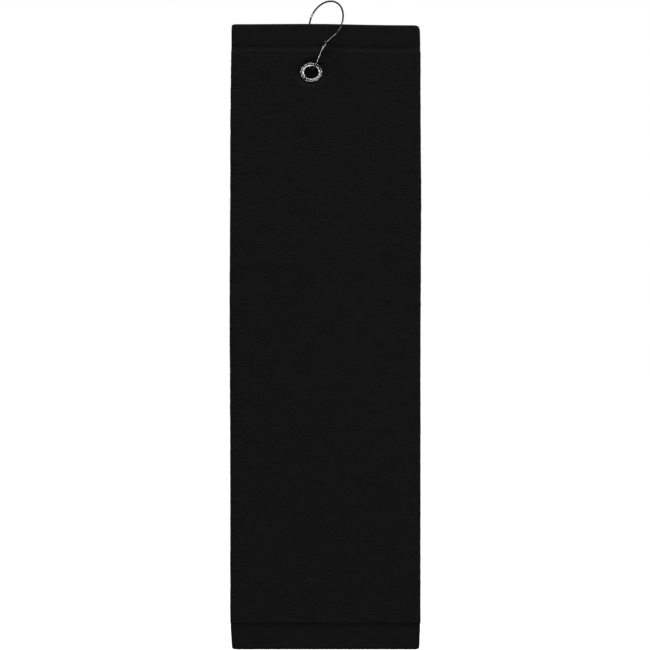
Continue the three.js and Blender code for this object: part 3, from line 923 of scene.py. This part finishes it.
@dataclass
class Hems:
    """The turned-over hem bands, and the row of stitches that holds each of them."""

    maker: ClothMaker
    underlap: float = 1.0 * MM
    seam_in: float = 2.0 * MM
    edge: float = 1.1 * MM
    edge_lines: tuple[float, ...] = (0.0, 0.1, 0.25, 0.5)
    groove: float = 0.2 * MM
    groove_width: float = 0.9 * MM
    pucker: float = 0.07 * MM
    unevenness: float = 0.08 * MM
    pitch: float = 3.1 * MM
    row_margin: float = 1.5 * MM
    step: float = 1.25 * MM

    def band_lines(self, width: float, step: float) -> np.ndarray:
        """Grid lines across a band: close together at its folded edge and along the seam."""
        seam = width - self.seam_in
        near, far = seam - 2 * self.groove_width, seam + 2 * self.groove_width
        ends = self.edge * np.array(self.edge_lines)
        plain = lines(self.edge, near, step=step)
        fine = lines(near, far, step=0.45 * MM)[1:-1]
        lap = lines(far, width + self.underlap, step=0.6 * MM)
        return np.concatenate([ends, plain, fine, lap])

    def thickness(self, along: np.ndarray, into: np.ndarray) -> np.ndarray:
        """Half a band's thickness: rounded at its folded edge, pulled in and puckered at the seam.

        Args:
            along: the place along the seam.
            into: the distance in from the hem's folded edge.

        Returns:
            Half the thickness at each place.
        """
        drape = self.maker.drape
        seam = hump(into, drape.end_hem - self.seam_in, self.groove_width)
        wave = np.cos(2.0 * math.pi * along / self.pitch)
        body = drape.hem / 2 * rounded(into, self.edge, 0.25)
        return body - seam * (self.groove + self.pucker * wave)

    def band(self, name: str, patch: Flat, half: np.ndarray) -> bpy.types.Object:
        """A band's slab, with its slow unevenness."""
        uneven = self.unevenness * soft_noise(patch.across, patch.down, 7.0 * MM, 13)
        return self.maker.slab(name, patch, half, uneven)

    def end_band(self, side: Side, end: End) -> bpy.types.Object:
        """One part of the top or bottom hem."""
        drape = self.maker.drape
        far = drape.cut_width / 2
        if side is Side.FRONT:
            across = lines(-drape.half_flat, drape.half_flat, step=self.step)
        else:
            across = drape.side_lines(side, far, self.edge, self.edge_lines, self.step)
        into = self.band_lines(drape.end_hem, 2.2 * MM)
        down = into if end is End.TOP else (drape.cut_length - into)[::-1]
        patch = Flat.rectangle(across, down)
        inward = patch.down if end is End.TOP else drape.cut_length - patch.down
        half = self.thickness(patch.across, inward)
        if side is not Side.FRONT:
            half = half * rounded(far - np.abs(patch.across), self.edge, 0.4)
        return self.band(f"{end.value}_hem_{side.word}", patch, half)

    def side_band(self, side: Side) -> bpy.types.Object:
        """The hem along a side's free edge, between the two end hems."""
        drape = self.maker.drape
        into = self.band_lines(drape.side_hem, 1.8 * MM)
        across = np.sort((drape.cut_width / 2 - into) * side.sign)
        lap = self.underlap * drape.side_hem / drape.end_hem
        down = lines(drape.end_hem - lap, drape.cut_length - drape.end_hem + lap, step=self.step)
        patch = Flat.rectangle(across, down)
        inward = drape.cut_width / 2 - np.abs(patch.across)
        half = self.thickness(patch.down, inward + drape.end_hem - drape.side_hem)
        half = half * rounded(inward, self.edge, 0.25) * 0.96
        return self.band(f"side_hem_{side.word}", patch, half)

    def end_stitches(self, side: Side, end: End) -> bpy.types.Object:
        """The stitches of one part of the top or bottom hem."""
        drape = self.maker.drape
        high = drape.cut_width / 2 - self.row_margin
        low, high = {
            Side.LEFT: (-high, -drape.half_flat),
            Side.FRONT: (-drape.half_flat, drape.half_flat),
            Side.RIGHT: (drape.half_flat, high),
        }[side]
        first = math.ceil((low + self.pitch / 2) / self.pitch - 0.5)
        across = np.arange(first, math.floor(high / self.pitch - 0.5) + 1) * self.pitch
        across = across + self.pitch / 2
        into = drape.end_hem - self.seam_in
        down = np.full_like(across, into if end is End.TOP else drape.cut_length - into)
        above = drape.hem / 2 - self.groove
        return self.maker.stitches(f"{end.value}_stitches_{side.word}", across, down, 0, above)

    def side_stitches(self, side: Side) -> bpy.types.Object:
        """The stitches of a side hem."""
        drape = self.maker.drape
        margin = drape.end_hem + self.row_margin
        count = int((drape.cut_length - 2 * margin) / self.pitch)
        down = margin + (np.arange(count) + 0.5) * self.pitch
        seam = drape.cut_width / 2 - drape.side_hem + self.seam_in
        above = drape.hem / 2 - self.groove
        across = np.full_like(down, seam * side.sign)
        return self.maker.stitches(f"side_stitches_{side.word}", across, down, 1, above)

    def build(self) -> dict[Side, list[bpy.types.Object]]:
        """Makes and dresses every band and row of stitches."""
        made: dict[Side, list[bpy.types.Object]] = {side: [] for side in Side}
        owner = {Side.FRONT: "front", Side.LEFT: "left_flap", Side.RIGHT: "right_flap"}
        for side in Side:
            for end in End:
                band = BLACK_HEM.dress(self.end_band(side, end))
                row = BLACK_THREAD.dress(self.end_stitches(side, end))
                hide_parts(f"{owner[side]}_{end.value}_hem")
                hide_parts(f"{owner[side]}_{end.value}_hem_stitching")
                made[side] += [band, row]
            if side is Side.FRONT:
                continue
            band = BLACK_HEM.dress(self.side_band(side))
            row = BLACK_THREAD.dress(self.side_stitches(side))
            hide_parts(f"{owner[side]}_side_hem")
            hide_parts(f"{owner[side]}_side_hem_stitching")
            made[side] += [band, row]
        return made


@dataclass
class CareLabel:
    """A blank woven tape on the back of the right side, held along its inner edge."""

    maker: ClothMaker
    width: float = 24 * MM
    length: float = 34 * MM
    thickness: float = 0.35 * MM
    from_side_hem: float = 1.3 * MM
    above_hem: float = 30 * MM
    curl: float = 0.8 * MM
    stand_off: float = 0.35 * MM

    def build(self) -> bpy.types.Object:
        """Makes and dresses the label: a thin slab whose free corners lift in a low curl."""
        drape = self.maker.drape
        inner = drape.cut_width / 2 - drape.side_hem - self.from_side_hem
        bottom = drape.cut_length - drape.end_hem - self.above_hem
        across = lines(inner - self.width, inner, step=1.0 * MM)
        down = lines(bottom - self.length, bottom, step=1.0 * MM)
        patch = Flat.rectangle(across, down)
        free = (inner - patch.across) / self.width
        sag = np.abs(patch.down - bottom + self.length / 2) / (self.length / 2)
        lift = self.curl * free**2 * (0.35 + 0.65 * sag**2)
        half = np.full_like(free, self.thickness / 2)
        rest = drape.terry / 2 + self.stand_off
        piece = self.maker.slab("care_label_tape", patch, half, np.zeros_like(free), rest)
        mesh = piece.data
        corners = np.empty(len(mesh.vertices) * 3, dtype=np.float32)
        mesh.vertices.foreach_get("co", corners)
        corners = corners.reshape(-1, 3)
        corners[:, 1] += np.tile(lift, 2)
        mesh.vertices.foreach_set("co", corners.ravel())
        mesh.update()
        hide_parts("care_label")
        return WHITE_TAPE.dress(piece)


# ---- metal pieces ------------------------------------------------------------------------------


@dataclass
class Eyelet:
    """The two-part eyelet: a face with a rolled rim and barrel, and a washer behind."""

    drape: Drape
    hole: float = 5.6 * MM
    flange: float = 8.6 * MM
    tall: float = 0.88
    sheet: float = 0.45 * MM
    half_grip: float = 0.75 * MM
    rim_radius: float = 0.70 * MM
    rim_sunk: float = 0.34 * MM
    bead_radius: float = 0.30 * MM
    groove_sunk: float = 0.24 * MM
    washer: float = 0.35 * MM
    washer_room: float = 0.3 * MM
    curl_reach: float = 0.75 * MM
    curl_out: float = 0.4 * MM
    inner_round: float = 0.45 * MM
    corner: float = 0.1 * MM
    segments: int = 144
    sharp: float = 28.0

    def lathe(self, name: str, profile: np.ndarray) -> bpy.types.Object:
        """Turns a closed profile round the eyelet's own line, which runs front to back.

        Args:
            name: the piece's name.
            profile: (n, 2) radius and depth, in order round the section.

        Returns:
            The piece: each profile point carried round an oval as wide as its radius.
        """
        angle = circle(self.segments)[:, None]
        radius, depth = profile[:, 0][None, :], profile[:, 1][None, :]
        low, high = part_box("eyelet_face")
        centre = np.array([(low.x + high.x) / 2, self.drape.front, (low.z + high.z) / 2])
        rise = self.tall * radius * np.sin(angle)
        ring = np.stack([radius * np.cos(angle), depth + 0.0 * angle, rise], -1)
        count = len(profile)
        i = np.arange(self.segments)[:, None]
        j = np.arange(count)[None, :]
        k, m = (i + 1) % self.segments, (j + 1) % count
        area = (profile[:, 0] * np.roll(profile[:, 1], -1)).sum()
        area -= (np.roll(profile[:, 0], -1) * profile[:, 1]).sum()
        order = [i * count + j, i * count + m, k * count + m, k * count + j]
        faces = np.stack(order if area > 0 else order[::-1], axis=-1).reshape(-1, 4)
        places = paired(angle * self.flange, radius, ring.shape[:2])
        corners = (centre + ring).reshape(-1, 3)
        return make_piece(name, corners, [faces], places, crease=self.sharp)

    def arc(
        self, centre: tuple[float, float], radius: float, start: float, end: float, count: int
    ) -> np.ndarray:
        """Points round part of a circle, by its angles in degrees."""
        angle = np.radians(np.linspace(start, end, count))
        return np.array(centre) + radius * np.stack([np.cos(angle), np.sin(angle)], -1)

    def face(self) -> bpy.types.Object:
        """The rolled rim, the groove outside it, the beaded flange and the curled barrel."""
        back, half = -self.half_grip, self.sheet / 2
        front = back - self.sheet
        rim = (self.hole + self.rim_radius, front + self.rim_sunk)
        bead = (self.flange - self.bead_radius, back - self.bead_radius)
        barrel = self.hole + self.sheet
        curl = self.half_grip + self.washer + self.washer_room + half
        tip = barrel + self.curl_out + self.curl_reach
        inner = (self.hole + self.inner_round, curl - self.inner_round / 2)
        profile = np.concatenate([
            self.arc(rim, self.rim_radius, 180, 340, 22),
            [[rim[0] + self.rim_radius, front + self.groove_sunk]],
            self.arc(bead, self.bead_radius, 250, 450, 12),
            [[barrel + self.corner, back], [barrel, back + self.corner]],
            [[barrel, curl - half], [tip, curl - half]],
            self.arc((tip, curl), half, -60, 90, 7),
            self.arc(inner, self.inner_round, 90, 180, 7),
        ])
        piece = self.lathe("eyelet_rim", profile)
        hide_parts("eyelet_face")
        return EYELET_NICKEL.dress(piece)

    def back(self) -> bpy.types.Object:
        """The washer: a thin ring with a rounded outer edge."""
        inner = self.hole + self.sheet + self.washer_room
        half = self.washer / 2
        middle = self.half_grip + half
        profile = np.concatenate([
            [[inner, middle + half], [inner, middle - half]],
            self.arc((self.flange - half, middle), half, -90, 90, 9),
        ])
        piece = self.lathe("eyelet_back_washer", profile)
        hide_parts("eyelet_washer")
        return EYELET_NICKEL.dress(piece)


@dataclass
class WireHook:
    """The pear-shaped hook: a bent wire whose spring arm closes into a crook at its front leg."""

    wire: float = 1.4 * MM
    half_width: float = 12.6 * MM
    half_height: float = 16.8 * MM
    head_tilt: float = math.radians(9)
    lean: float = math.radians(17)
    neck: float = 36.6 * MM
    bend_half_width: float = 2.3 * MM
    bend_height: float = 3.9 * MM
    head_turn: float = math.radians(20)
    latch: tuple[float, float] = (4.1 * MM, -18.7 * MM)
    arm_start: float = math.radians(48)
    arm_past_latch: float = 0.4 * MM
    crook_up_arm: float = 1.6 * MM
    crook_reach: float = math.radians(150)
    crook_room: float = 0.4 * MM
    crook_approach: float = 1.2 * MM
    leg_ends_below_latch: float = 3.5 * MM
    leg_from_web: float = 3.2 * MM
    bent_length: float = 7.0 * MM
    crook_length: float = 7.5 * MM
    crook_fade: float = 4.0 * MM
    sides: int = 20
    station: float = 0.4 * MM
    fine_step: float = 0.1 * MM
    ease: float = 0.8 * MM

    def __post_init__(self) -> None:
        """Works out the hook's frame and where its head's middle is."""
        self.radius = self.wire / 2
        self.across = np.array([math.cos(self.lean), 0.0, -math.sin(self.lean)])
        self.up = np.array([math.sin(self.lean), 0.0, math.cos(self.lean)])
        self.middle = np.zeros(3)
        rounds = self.in_loop(self.on_head(np.linspace(0.0, math.pi, 721)))
        self.middle = np.array([0.0, 0.0, self.radius]) - rounds[np.argmax(rounds[:, 2])]

    def slope(self, up: np.ndarray) -> np.ndarray:
        """How fast the depth grows with the way across, steeper towards the bottom bend."""
        share = np.clip(-up / self.neck, 0.0, 1.0)
        steep = self.leg_from_web / self.bend_half_width
        return math.tan(self.head_turn) * (1.0 - share) + steep * share

    def in_loop(self, drawn: np.ndarray) -> np.ndarray:
        """Puts points in place that are drawn from the front, across and up from the middle."""
        a, u = drawn[..., :1], drawn[..., 1:]
        depth = a * self.slope(u)
        return self.middle + a * self.across + u * self.up + depth * FRONTWARDS

    def turned(self, drawn: np.ndarray, angle: float) -> np.ndarray:
        """Drawn points turned about the head's middle."""
        c, s = math.cos(angle), math.sin(angle)
        return drawn @ np.array([[c, s], [-s, c]])

    def on_head(self, angle: np.ndarray) -> np.ndarray:
        """The head's oval, at an angle round it."""
        oval = np.stack([self.half_width * np.cos(angle), self.half_height * np.sin(angle)], -1)
        return self.turned(oval, -self.head_tilt)

    def on_bend(self, angle: np.ndarray) -> np.ndarray:
        """The bottom bend's half oval, at an angle round it."""
        across = self.bend_half_width * np.cos(angle)
        return np.stack([across, -self.neck + self.bend_height * np.sin(angle)], -1)

    def touch_angle(self, point: np.ndarray, side: int) -> float:
        """The angle on the head's oval where a line from a point outside it touches it."""
        level = self.turned(point, self.head_tilt)
        x, y = level[0] / self.half_width, level[1] / self.half_height
        return math.atan2(y, x) + side * math.acos(1.0 / math.hypot(x, y))

    def run(self, start: np.ndarray, end: np.ndarray, count: int = 200) -> np.ndarray:
        """Points along a line between two drawn points."""
        return start + (end - start) * np.linspace(0.0, 1.0, count)[:, None]

    def arm_line(self) -> tuple[np.ndarray, np.ndarray, np.ndarray]:
        """The straight part of the arm: its start, its end at the latch, and its direction."""
        latch = np.array(self.latch)
        start = self.in_loop(self.on_head(np.array(self.touch_angle(latch, 1))))
        end = self.in_loop(latch) + FRONTWARDS * (self.wire + self.crook_room)
        return start, end, unit(end - start)

    def arm_route(self) -> np.ndarray:
        """The spring arm: round the head from where it starts, then straight to the crook."""
        leaves = self.touch_angle(np.array(self.latch), 1)
        head = self.in_loop(self.on_head(np.linspace(self.arm_start, leaves, 300)))
        start, end, way = self.arm_line()
        return np.concatenate([head, self.run(start, end + way * self.arm_past_latch)[1:]])

    def crook(self) -> np.ndarray:
        """The crook: part of a circle round the arm's end, from its front to behind it."""
        _, end, way = self.arm_line()
        over = unit(FRONTWARDS - way * (FRONTWARDS @ way))
        inside = np.cross(way, over)
        angle = (-math.pi / 2 + self.crook_reach * (1.0 - np.linspace(0.0, 1.0, 160)))[:, None]
        size = self.wire + self.crook_room
        centre = end - way * self.crook_up_arm
        return centre + size * (inside * np.cos(angle) + over * np.sin(angle))

    def body_route(self) -> np.ndarray:
        """The rest of the wire: crook, front leg, bottom bend, back leg and head.

        A cubic Bezier curve joins the crook to the leg, along both of their own directions.
        """
        latch = np.array(self.latch)
        front_foot, back_foot = self.on_bend(np.array(0.0)), self.on_bend(np.array(-math.pi))
        leg_head = latch - unit(latch - front_foot) * self.leg_ends_below_latch
        leg_top = self.in_loop(leg_head)
        way = unit(self.in_loop(latch) - leg_top)
        crook = self.crook()
        points = np.stack([
            crook[-1],
            crook[-1] + unit(crook[-1] - crook[-2]) * self.crook_approach,
            leg_top + way * self.leg_ends_below_latch / 2,
            leg_top,
        ])
        t = np.linspace(0.0, 1.0, 160)[:, None]
        weights = np.concatenate([(1 - t) ** 3, 3 * t * (1 - t) ** 2, 3 * t**2 * (1 - t), t**3], 1)
        meets = self.touch_angle(back_foot, -1) + 2.0 * math.pi
        return np.concatenate([
            crook,
            (weights @ points)[1:],
            self.in_loop(self.run(leg_head, front_foot))[1:],
            self.in_loop(self.on_bend(np.linspace(0.0, -math.pi, 200)))[1:],
            self.in_loop(self.run(back_foot, self.on_head(np.array(meets)), 400))[1:],
            self.in_loop(self.on_head(np.linspace(meets, self.arm_start, 600)))[1:],
        ])

    def evened(self, route: np.ndarray) -> np.ndarray:
        """A route set out in equal steps, its corners eased, its two ends left where they are."""
        length = way_along(route)
        fine = np.linspace(0.0, length[-1], round(length[-1] / self.fine_step) + 1)
        even = np.stack([np.interp(fine, length, route[:, k]) for k in range(3)], axis=-1)
        half = round(self.ease / self.fine_step)
        kernel = np.hanning(2 * half + 3)[1:-1]
        kernel = kernel / kernel.sum()
        before = 2 * even[0] - even[half:0:-1]
        after = 2 * even[-1] - even[-2:-half - 2:-1]
        padded = np.concatenate([before, even, after])
        eased = np.stack([np.convolve(padded[:, k], kernel, "valid") for k in range(3)], axis=-1)
        pick = np.linspace(0, len(eased) - 1, round(length[-1] / self.station) + 1)
        return np.stack([np.interp(pick, np.arange(len(eased)), eased[:, k]) for k in range(3)], -1)

    def tube(
        self, name: str, route: np.ndarray, side_of: np.ndarray, blunt: tuple[bool, bool]
    ) -> bpy.types.Object:
        """Carries a circle along a route.

        Each section lies square to the route. One of its two directions is square to both the
        route and a guide direction, and the other is square to that.

        Args:
            name: the piece's name.
            route: (n, 3) points.
            side_of: (n, 3) guide directions, never along the route.
            blunt: for the start and the end, whether it is cut square to meet the other wire.

        Returns:
            The piece, with its free end rounded and both ends closed.
        """
        way = unit(np.gradient(route, axis=0))
        first = unit(np.cross(way, side_of))
        second = np.cross(way, first)
        length = way_along(route)
        size = np.full(len(route), self.radius)
        for cut, distance in zip(blunt, (length, length[-1] - length)):
            if not cut:
                size = size * rounded(distance, self.radius, 0.3)
        angle = circle(self.sides)[None, :, None]
        ring = first[:, None] * np.cos(angle) + second[:, None] * np.sin(angle)
        corners = route[:, None] + ring * size[:, None, None]
        last = (len(route) - 1) * self.sides
        caps = np.stack([np.arange(self.sides)[::-1], last + np.arange(self.sides)])
        places = paired(length[:, None], angle[..., 0] * self.radius, corners.shape[:2])
        faces = [grid_faces(len(route), self.sides, wrap=True), caps]
        return make_piece(name, corners.reshape(-1, 3), faces, places)

    def guide(self, route: np.ndarray) -> np.ndarray:
        """A direction square to the surface that the loop is drawn on, at each point of a route."""
        offset = route - self.middle
        a = offset @ self.across
        u = offset @ self.up
        share = np.clip(-u / self.neck, 0.0, 1.0)
        steep = self.leg_from_web / self.bend_half_width - math.tan(self.head_turn)
        change = np.where((share > 0.0) & (share < 1.0), -steep / self.neck, 0.0)
        along_a = self.across + self.slope(u)[:, None] * FRONTWARDS
        along_u = self.up + (a * change)[:, None] * FRONTWARDS
        return unit(np.cross(along_a, along_u))

    def build(self) -> tuple[bpy.types.Object, bpy.types.Object]:
        """Makes and dresses the wire and its spring arm."""
        route = self.evened(self.body_route())
        from_end = np.arange(len(route)) * self.station
        near_crook = smooth_fall(from_end - self.crook_length, self.crook_fade)[:, None]
        guide = self.guide(route) * (1.0 - near_crook) - self.arm_line()[2] * near_crook
        body = self.tube("hook_wire", route, guide, (False, True))
        arm_route = self.evened(self.arm_route())
        arm = self.tube("hook_arm", arm_route, self.guide(arm_route), (True, False))
        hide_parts("hook_body_wire")
        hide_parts("hook_spring_arm")
        return BRIGHT_NICKEL.dress(body), BRIGHT_NICKEL.dress(arm)

    def carry(self, body: bpy.types.Object, arm: bpy.types.Object) -> None:
        """The wire rides on the hook; the arm only has its transform baked in."""
        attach(body, "hook")
        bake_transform(arm)


# ---- studio ------------------------------------------------------------------------------------


@dataclass(frozen=True)
class Window:
    """A soft rectangular light: its place, its width and height, and its power in watts."""

    name: str
    place: tuple[float, float, float]
    size: tuple[float, float]
    power: float
    mirrored: bool = True


@dataclass
class Studio:
    """A plain pale floor, soft light and the camera, square to the towel's front."""

    view_width: float = 519.1 * MM
    lens: float = 100.0
    sensor: float = 36.0
    aim: tuple[float, float, float] = (-4.0 * MM, -2.0 * MM, -258.2 * MM)
    room_strength: float = 0.025
    sun_strength: float = 3.9
    sun_spread: float = math.radians(70)
    windows: tuple[Window, ...] = (
        Window("front_window", (0.03, -1.35, 0.08), (0.21, 0.28), 1.4),
        Window("side_window", (1.2, -0.9, 0.1), (0.15, 0.7), 0.8),
        Window("back_window", (0.7, 1.5, 0.3), (1.0, 1.4), 9.0, mirrored=False),
    )
    floor_below: float = 90 * MM
    floor_side: float = 24.0
    floor_lines: int = 9

    def camera(self) -> None:
        """Places the camera where its frame is the view's width at the towel's front."""
        data = bpy.data.cameras.new("camera")
        data.lens, data.sensor_width = self.lens, self.sensor
        data.clip_start, data.clip_end = 0.01, 100.0
        seen = bpy.data.objects.new("camera", data)
        distance = self.view_width * self.lens / self.sensor
        seen.location = (self.aim[0], self.aim[1] - distance, self.aim[2])
        seen.rotation_euler = (math.pi / 2, 0.0, 0.0)
        bpy.context.scene.collection.objects.link(seen)
        bpy.context.scene.camera = seen

    def hang(self, window: Window) -> None:
        """Hangs one window light, turned to face the towel's middle."""
        data = bpy.data.lights.new(window.name, "AREA")
        data.shape, data.energy = "RECTANGLE", window.power
        data.size, data.size_y = window.size
        lamp = bpy.data.objects.new(window.name, data)
        lamp.visible_glossy = window.mirrored
        away = np.array(window.place) - np.array(self.aim)
        flat = math.hypot(away[0], away[1])
        lamp.location = window.place
        lamp.rotation_euler = (math.atan2(flat, away[2]), 0.0, math.atan2(away[0], -away[1]))
        bpy.context.scene.collection.objects.link(lamp)

    def overhead(self) -> None:
        """A broad light from straight above that the metal doesn't mirror."""
        sun = bpy.data.lights.new("overhead", "SUN")
        sun.energy, sun.angle = self.sun_strength, self.sun_spread
        above = bpy.data.objects.new("overhead", sun)
        above.visible_glossy = False
        bpy.context.scene.collection.objects.link(above)

    def sky(self) -> None:
        """A white background to look at, and a dimmer grey room to light and reflect."""
        white = (1.0, 1.0, 1.0, 1.0)
        world = bpy.data.worlds.new("studio")
        world.use_nodes = True
        bpy.context.scene.world = world
        w = Wiring(world.node_tree)
        seen = world.node_tree.nodes["Background"]
        seen.inputs["Color"].default_value = white
        seen.inputs["Strength"].default_value = 1.0
        room = w.add("Background", {"Color": white, "Strength": self.room_strength})
        eye = w.add("LightPath")
        parts = {0: eye.outputs["Is Camera Ray"], 1: room.outputs[0], 2: seen.outputs[0]}
        mixed = w.add("MixShader", parts)
        w.feed(world.node_tree.nodes["World Output"].inputs["Surface"], mixed.outputs[0])

    def floor(self) -> None:
        """A broad pale floor, flat and well below the towel, that only shows and takes shadow."""
        line = np.linspace(-self.floor_side / 2, self.floor_side / 2, self.floor_lines)
        x, y = np.meshgrid(line, line, indexing="ij")
        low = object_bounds()[0].z - self.floor_below
        corners = np.stack([x, y, np.full_like(x, low)], axis=-1).reshape(-1, 3)
        faces = grid_faces(self.floor_lines, self.floor_lines)[:, ::-1]
        piece = make_piece("studio_floor", corners, [faces], corners[:, :2])
        pale = bpy.data.materials.new("pale_floor")
        pale.use_nodes = True
        w = Wiring(pale.node_tree)
        shader = pale.node_tree.nodes["Principled BSDF"]
        place = w.add("TexCoord").outputs["Object"]
        tone = w.ramp(w.noise(place, 3.0), 0.0, 1.0, 0.90, 0.93)
        joined = w.add("CombineColor", {0: tone, 1: tone, 2: tone})
        w.feed(shader.inputs["Base Color"], joined.outputs[0])
        shader.inputs["Roughness"].default_value = 0.9
        shader.inputs["Specular IOR Level"].default_value = 0.1
        piece.data.materials.append(pale)
        piece.visible_glossy = False
        piece.visible_diffuse = False
        piece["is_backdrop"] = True

    def build(self) -> None:
        """Sets up the whole studio."""
        bpy.context.scene.view_settings.view_transform = "Standard"
        self.camera()
        self.sky()
        self.floor()
        for window in self.windows:
            self.hang(window)
        self.overhead()


# ---- assembly ----------------------------------------------------------------------------------


def main() -> None:
    """Builds the studio, the hook, the eyelet and the cloth."""
    logging.basicConfig(level=logging.INFO, format="%(message)s")
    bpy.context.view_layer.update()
    Studio().build()
    drape = Drape()
    maker = ClothMaker(drape)

    hook = WireHook()
    wire, arm = hook.build()
    hook.carry(wire, arm)
    LOG.info("hook: %s and %s", wire.name, arm.name)

    eyelet = Eyelet(drape)
    for ring in (eyelet.face(), eyelet.back()):
        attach(ring, Side.FRONT.value)
        LOG.info("eyelet: %s", ring.name)

    terry = Terry(maker).build()
    trims = Hems(maker).build()
    label = CareLabel(maker).build()
    for side, cloth in terry.items():
        maker.carry(cloth, side)
        for trim in trims[side]:
            maker.carry(trim, side)
            LOG.info("trim: %s", trim.name)
        LOG.info("cloth: %s", cloth.name)
    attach(label, Side.RIGHT.value)
    trims[Side.RIGHT].append(label)
    LOG.info("label: %s", label.name)


if __name__ == "__main__":
    main()
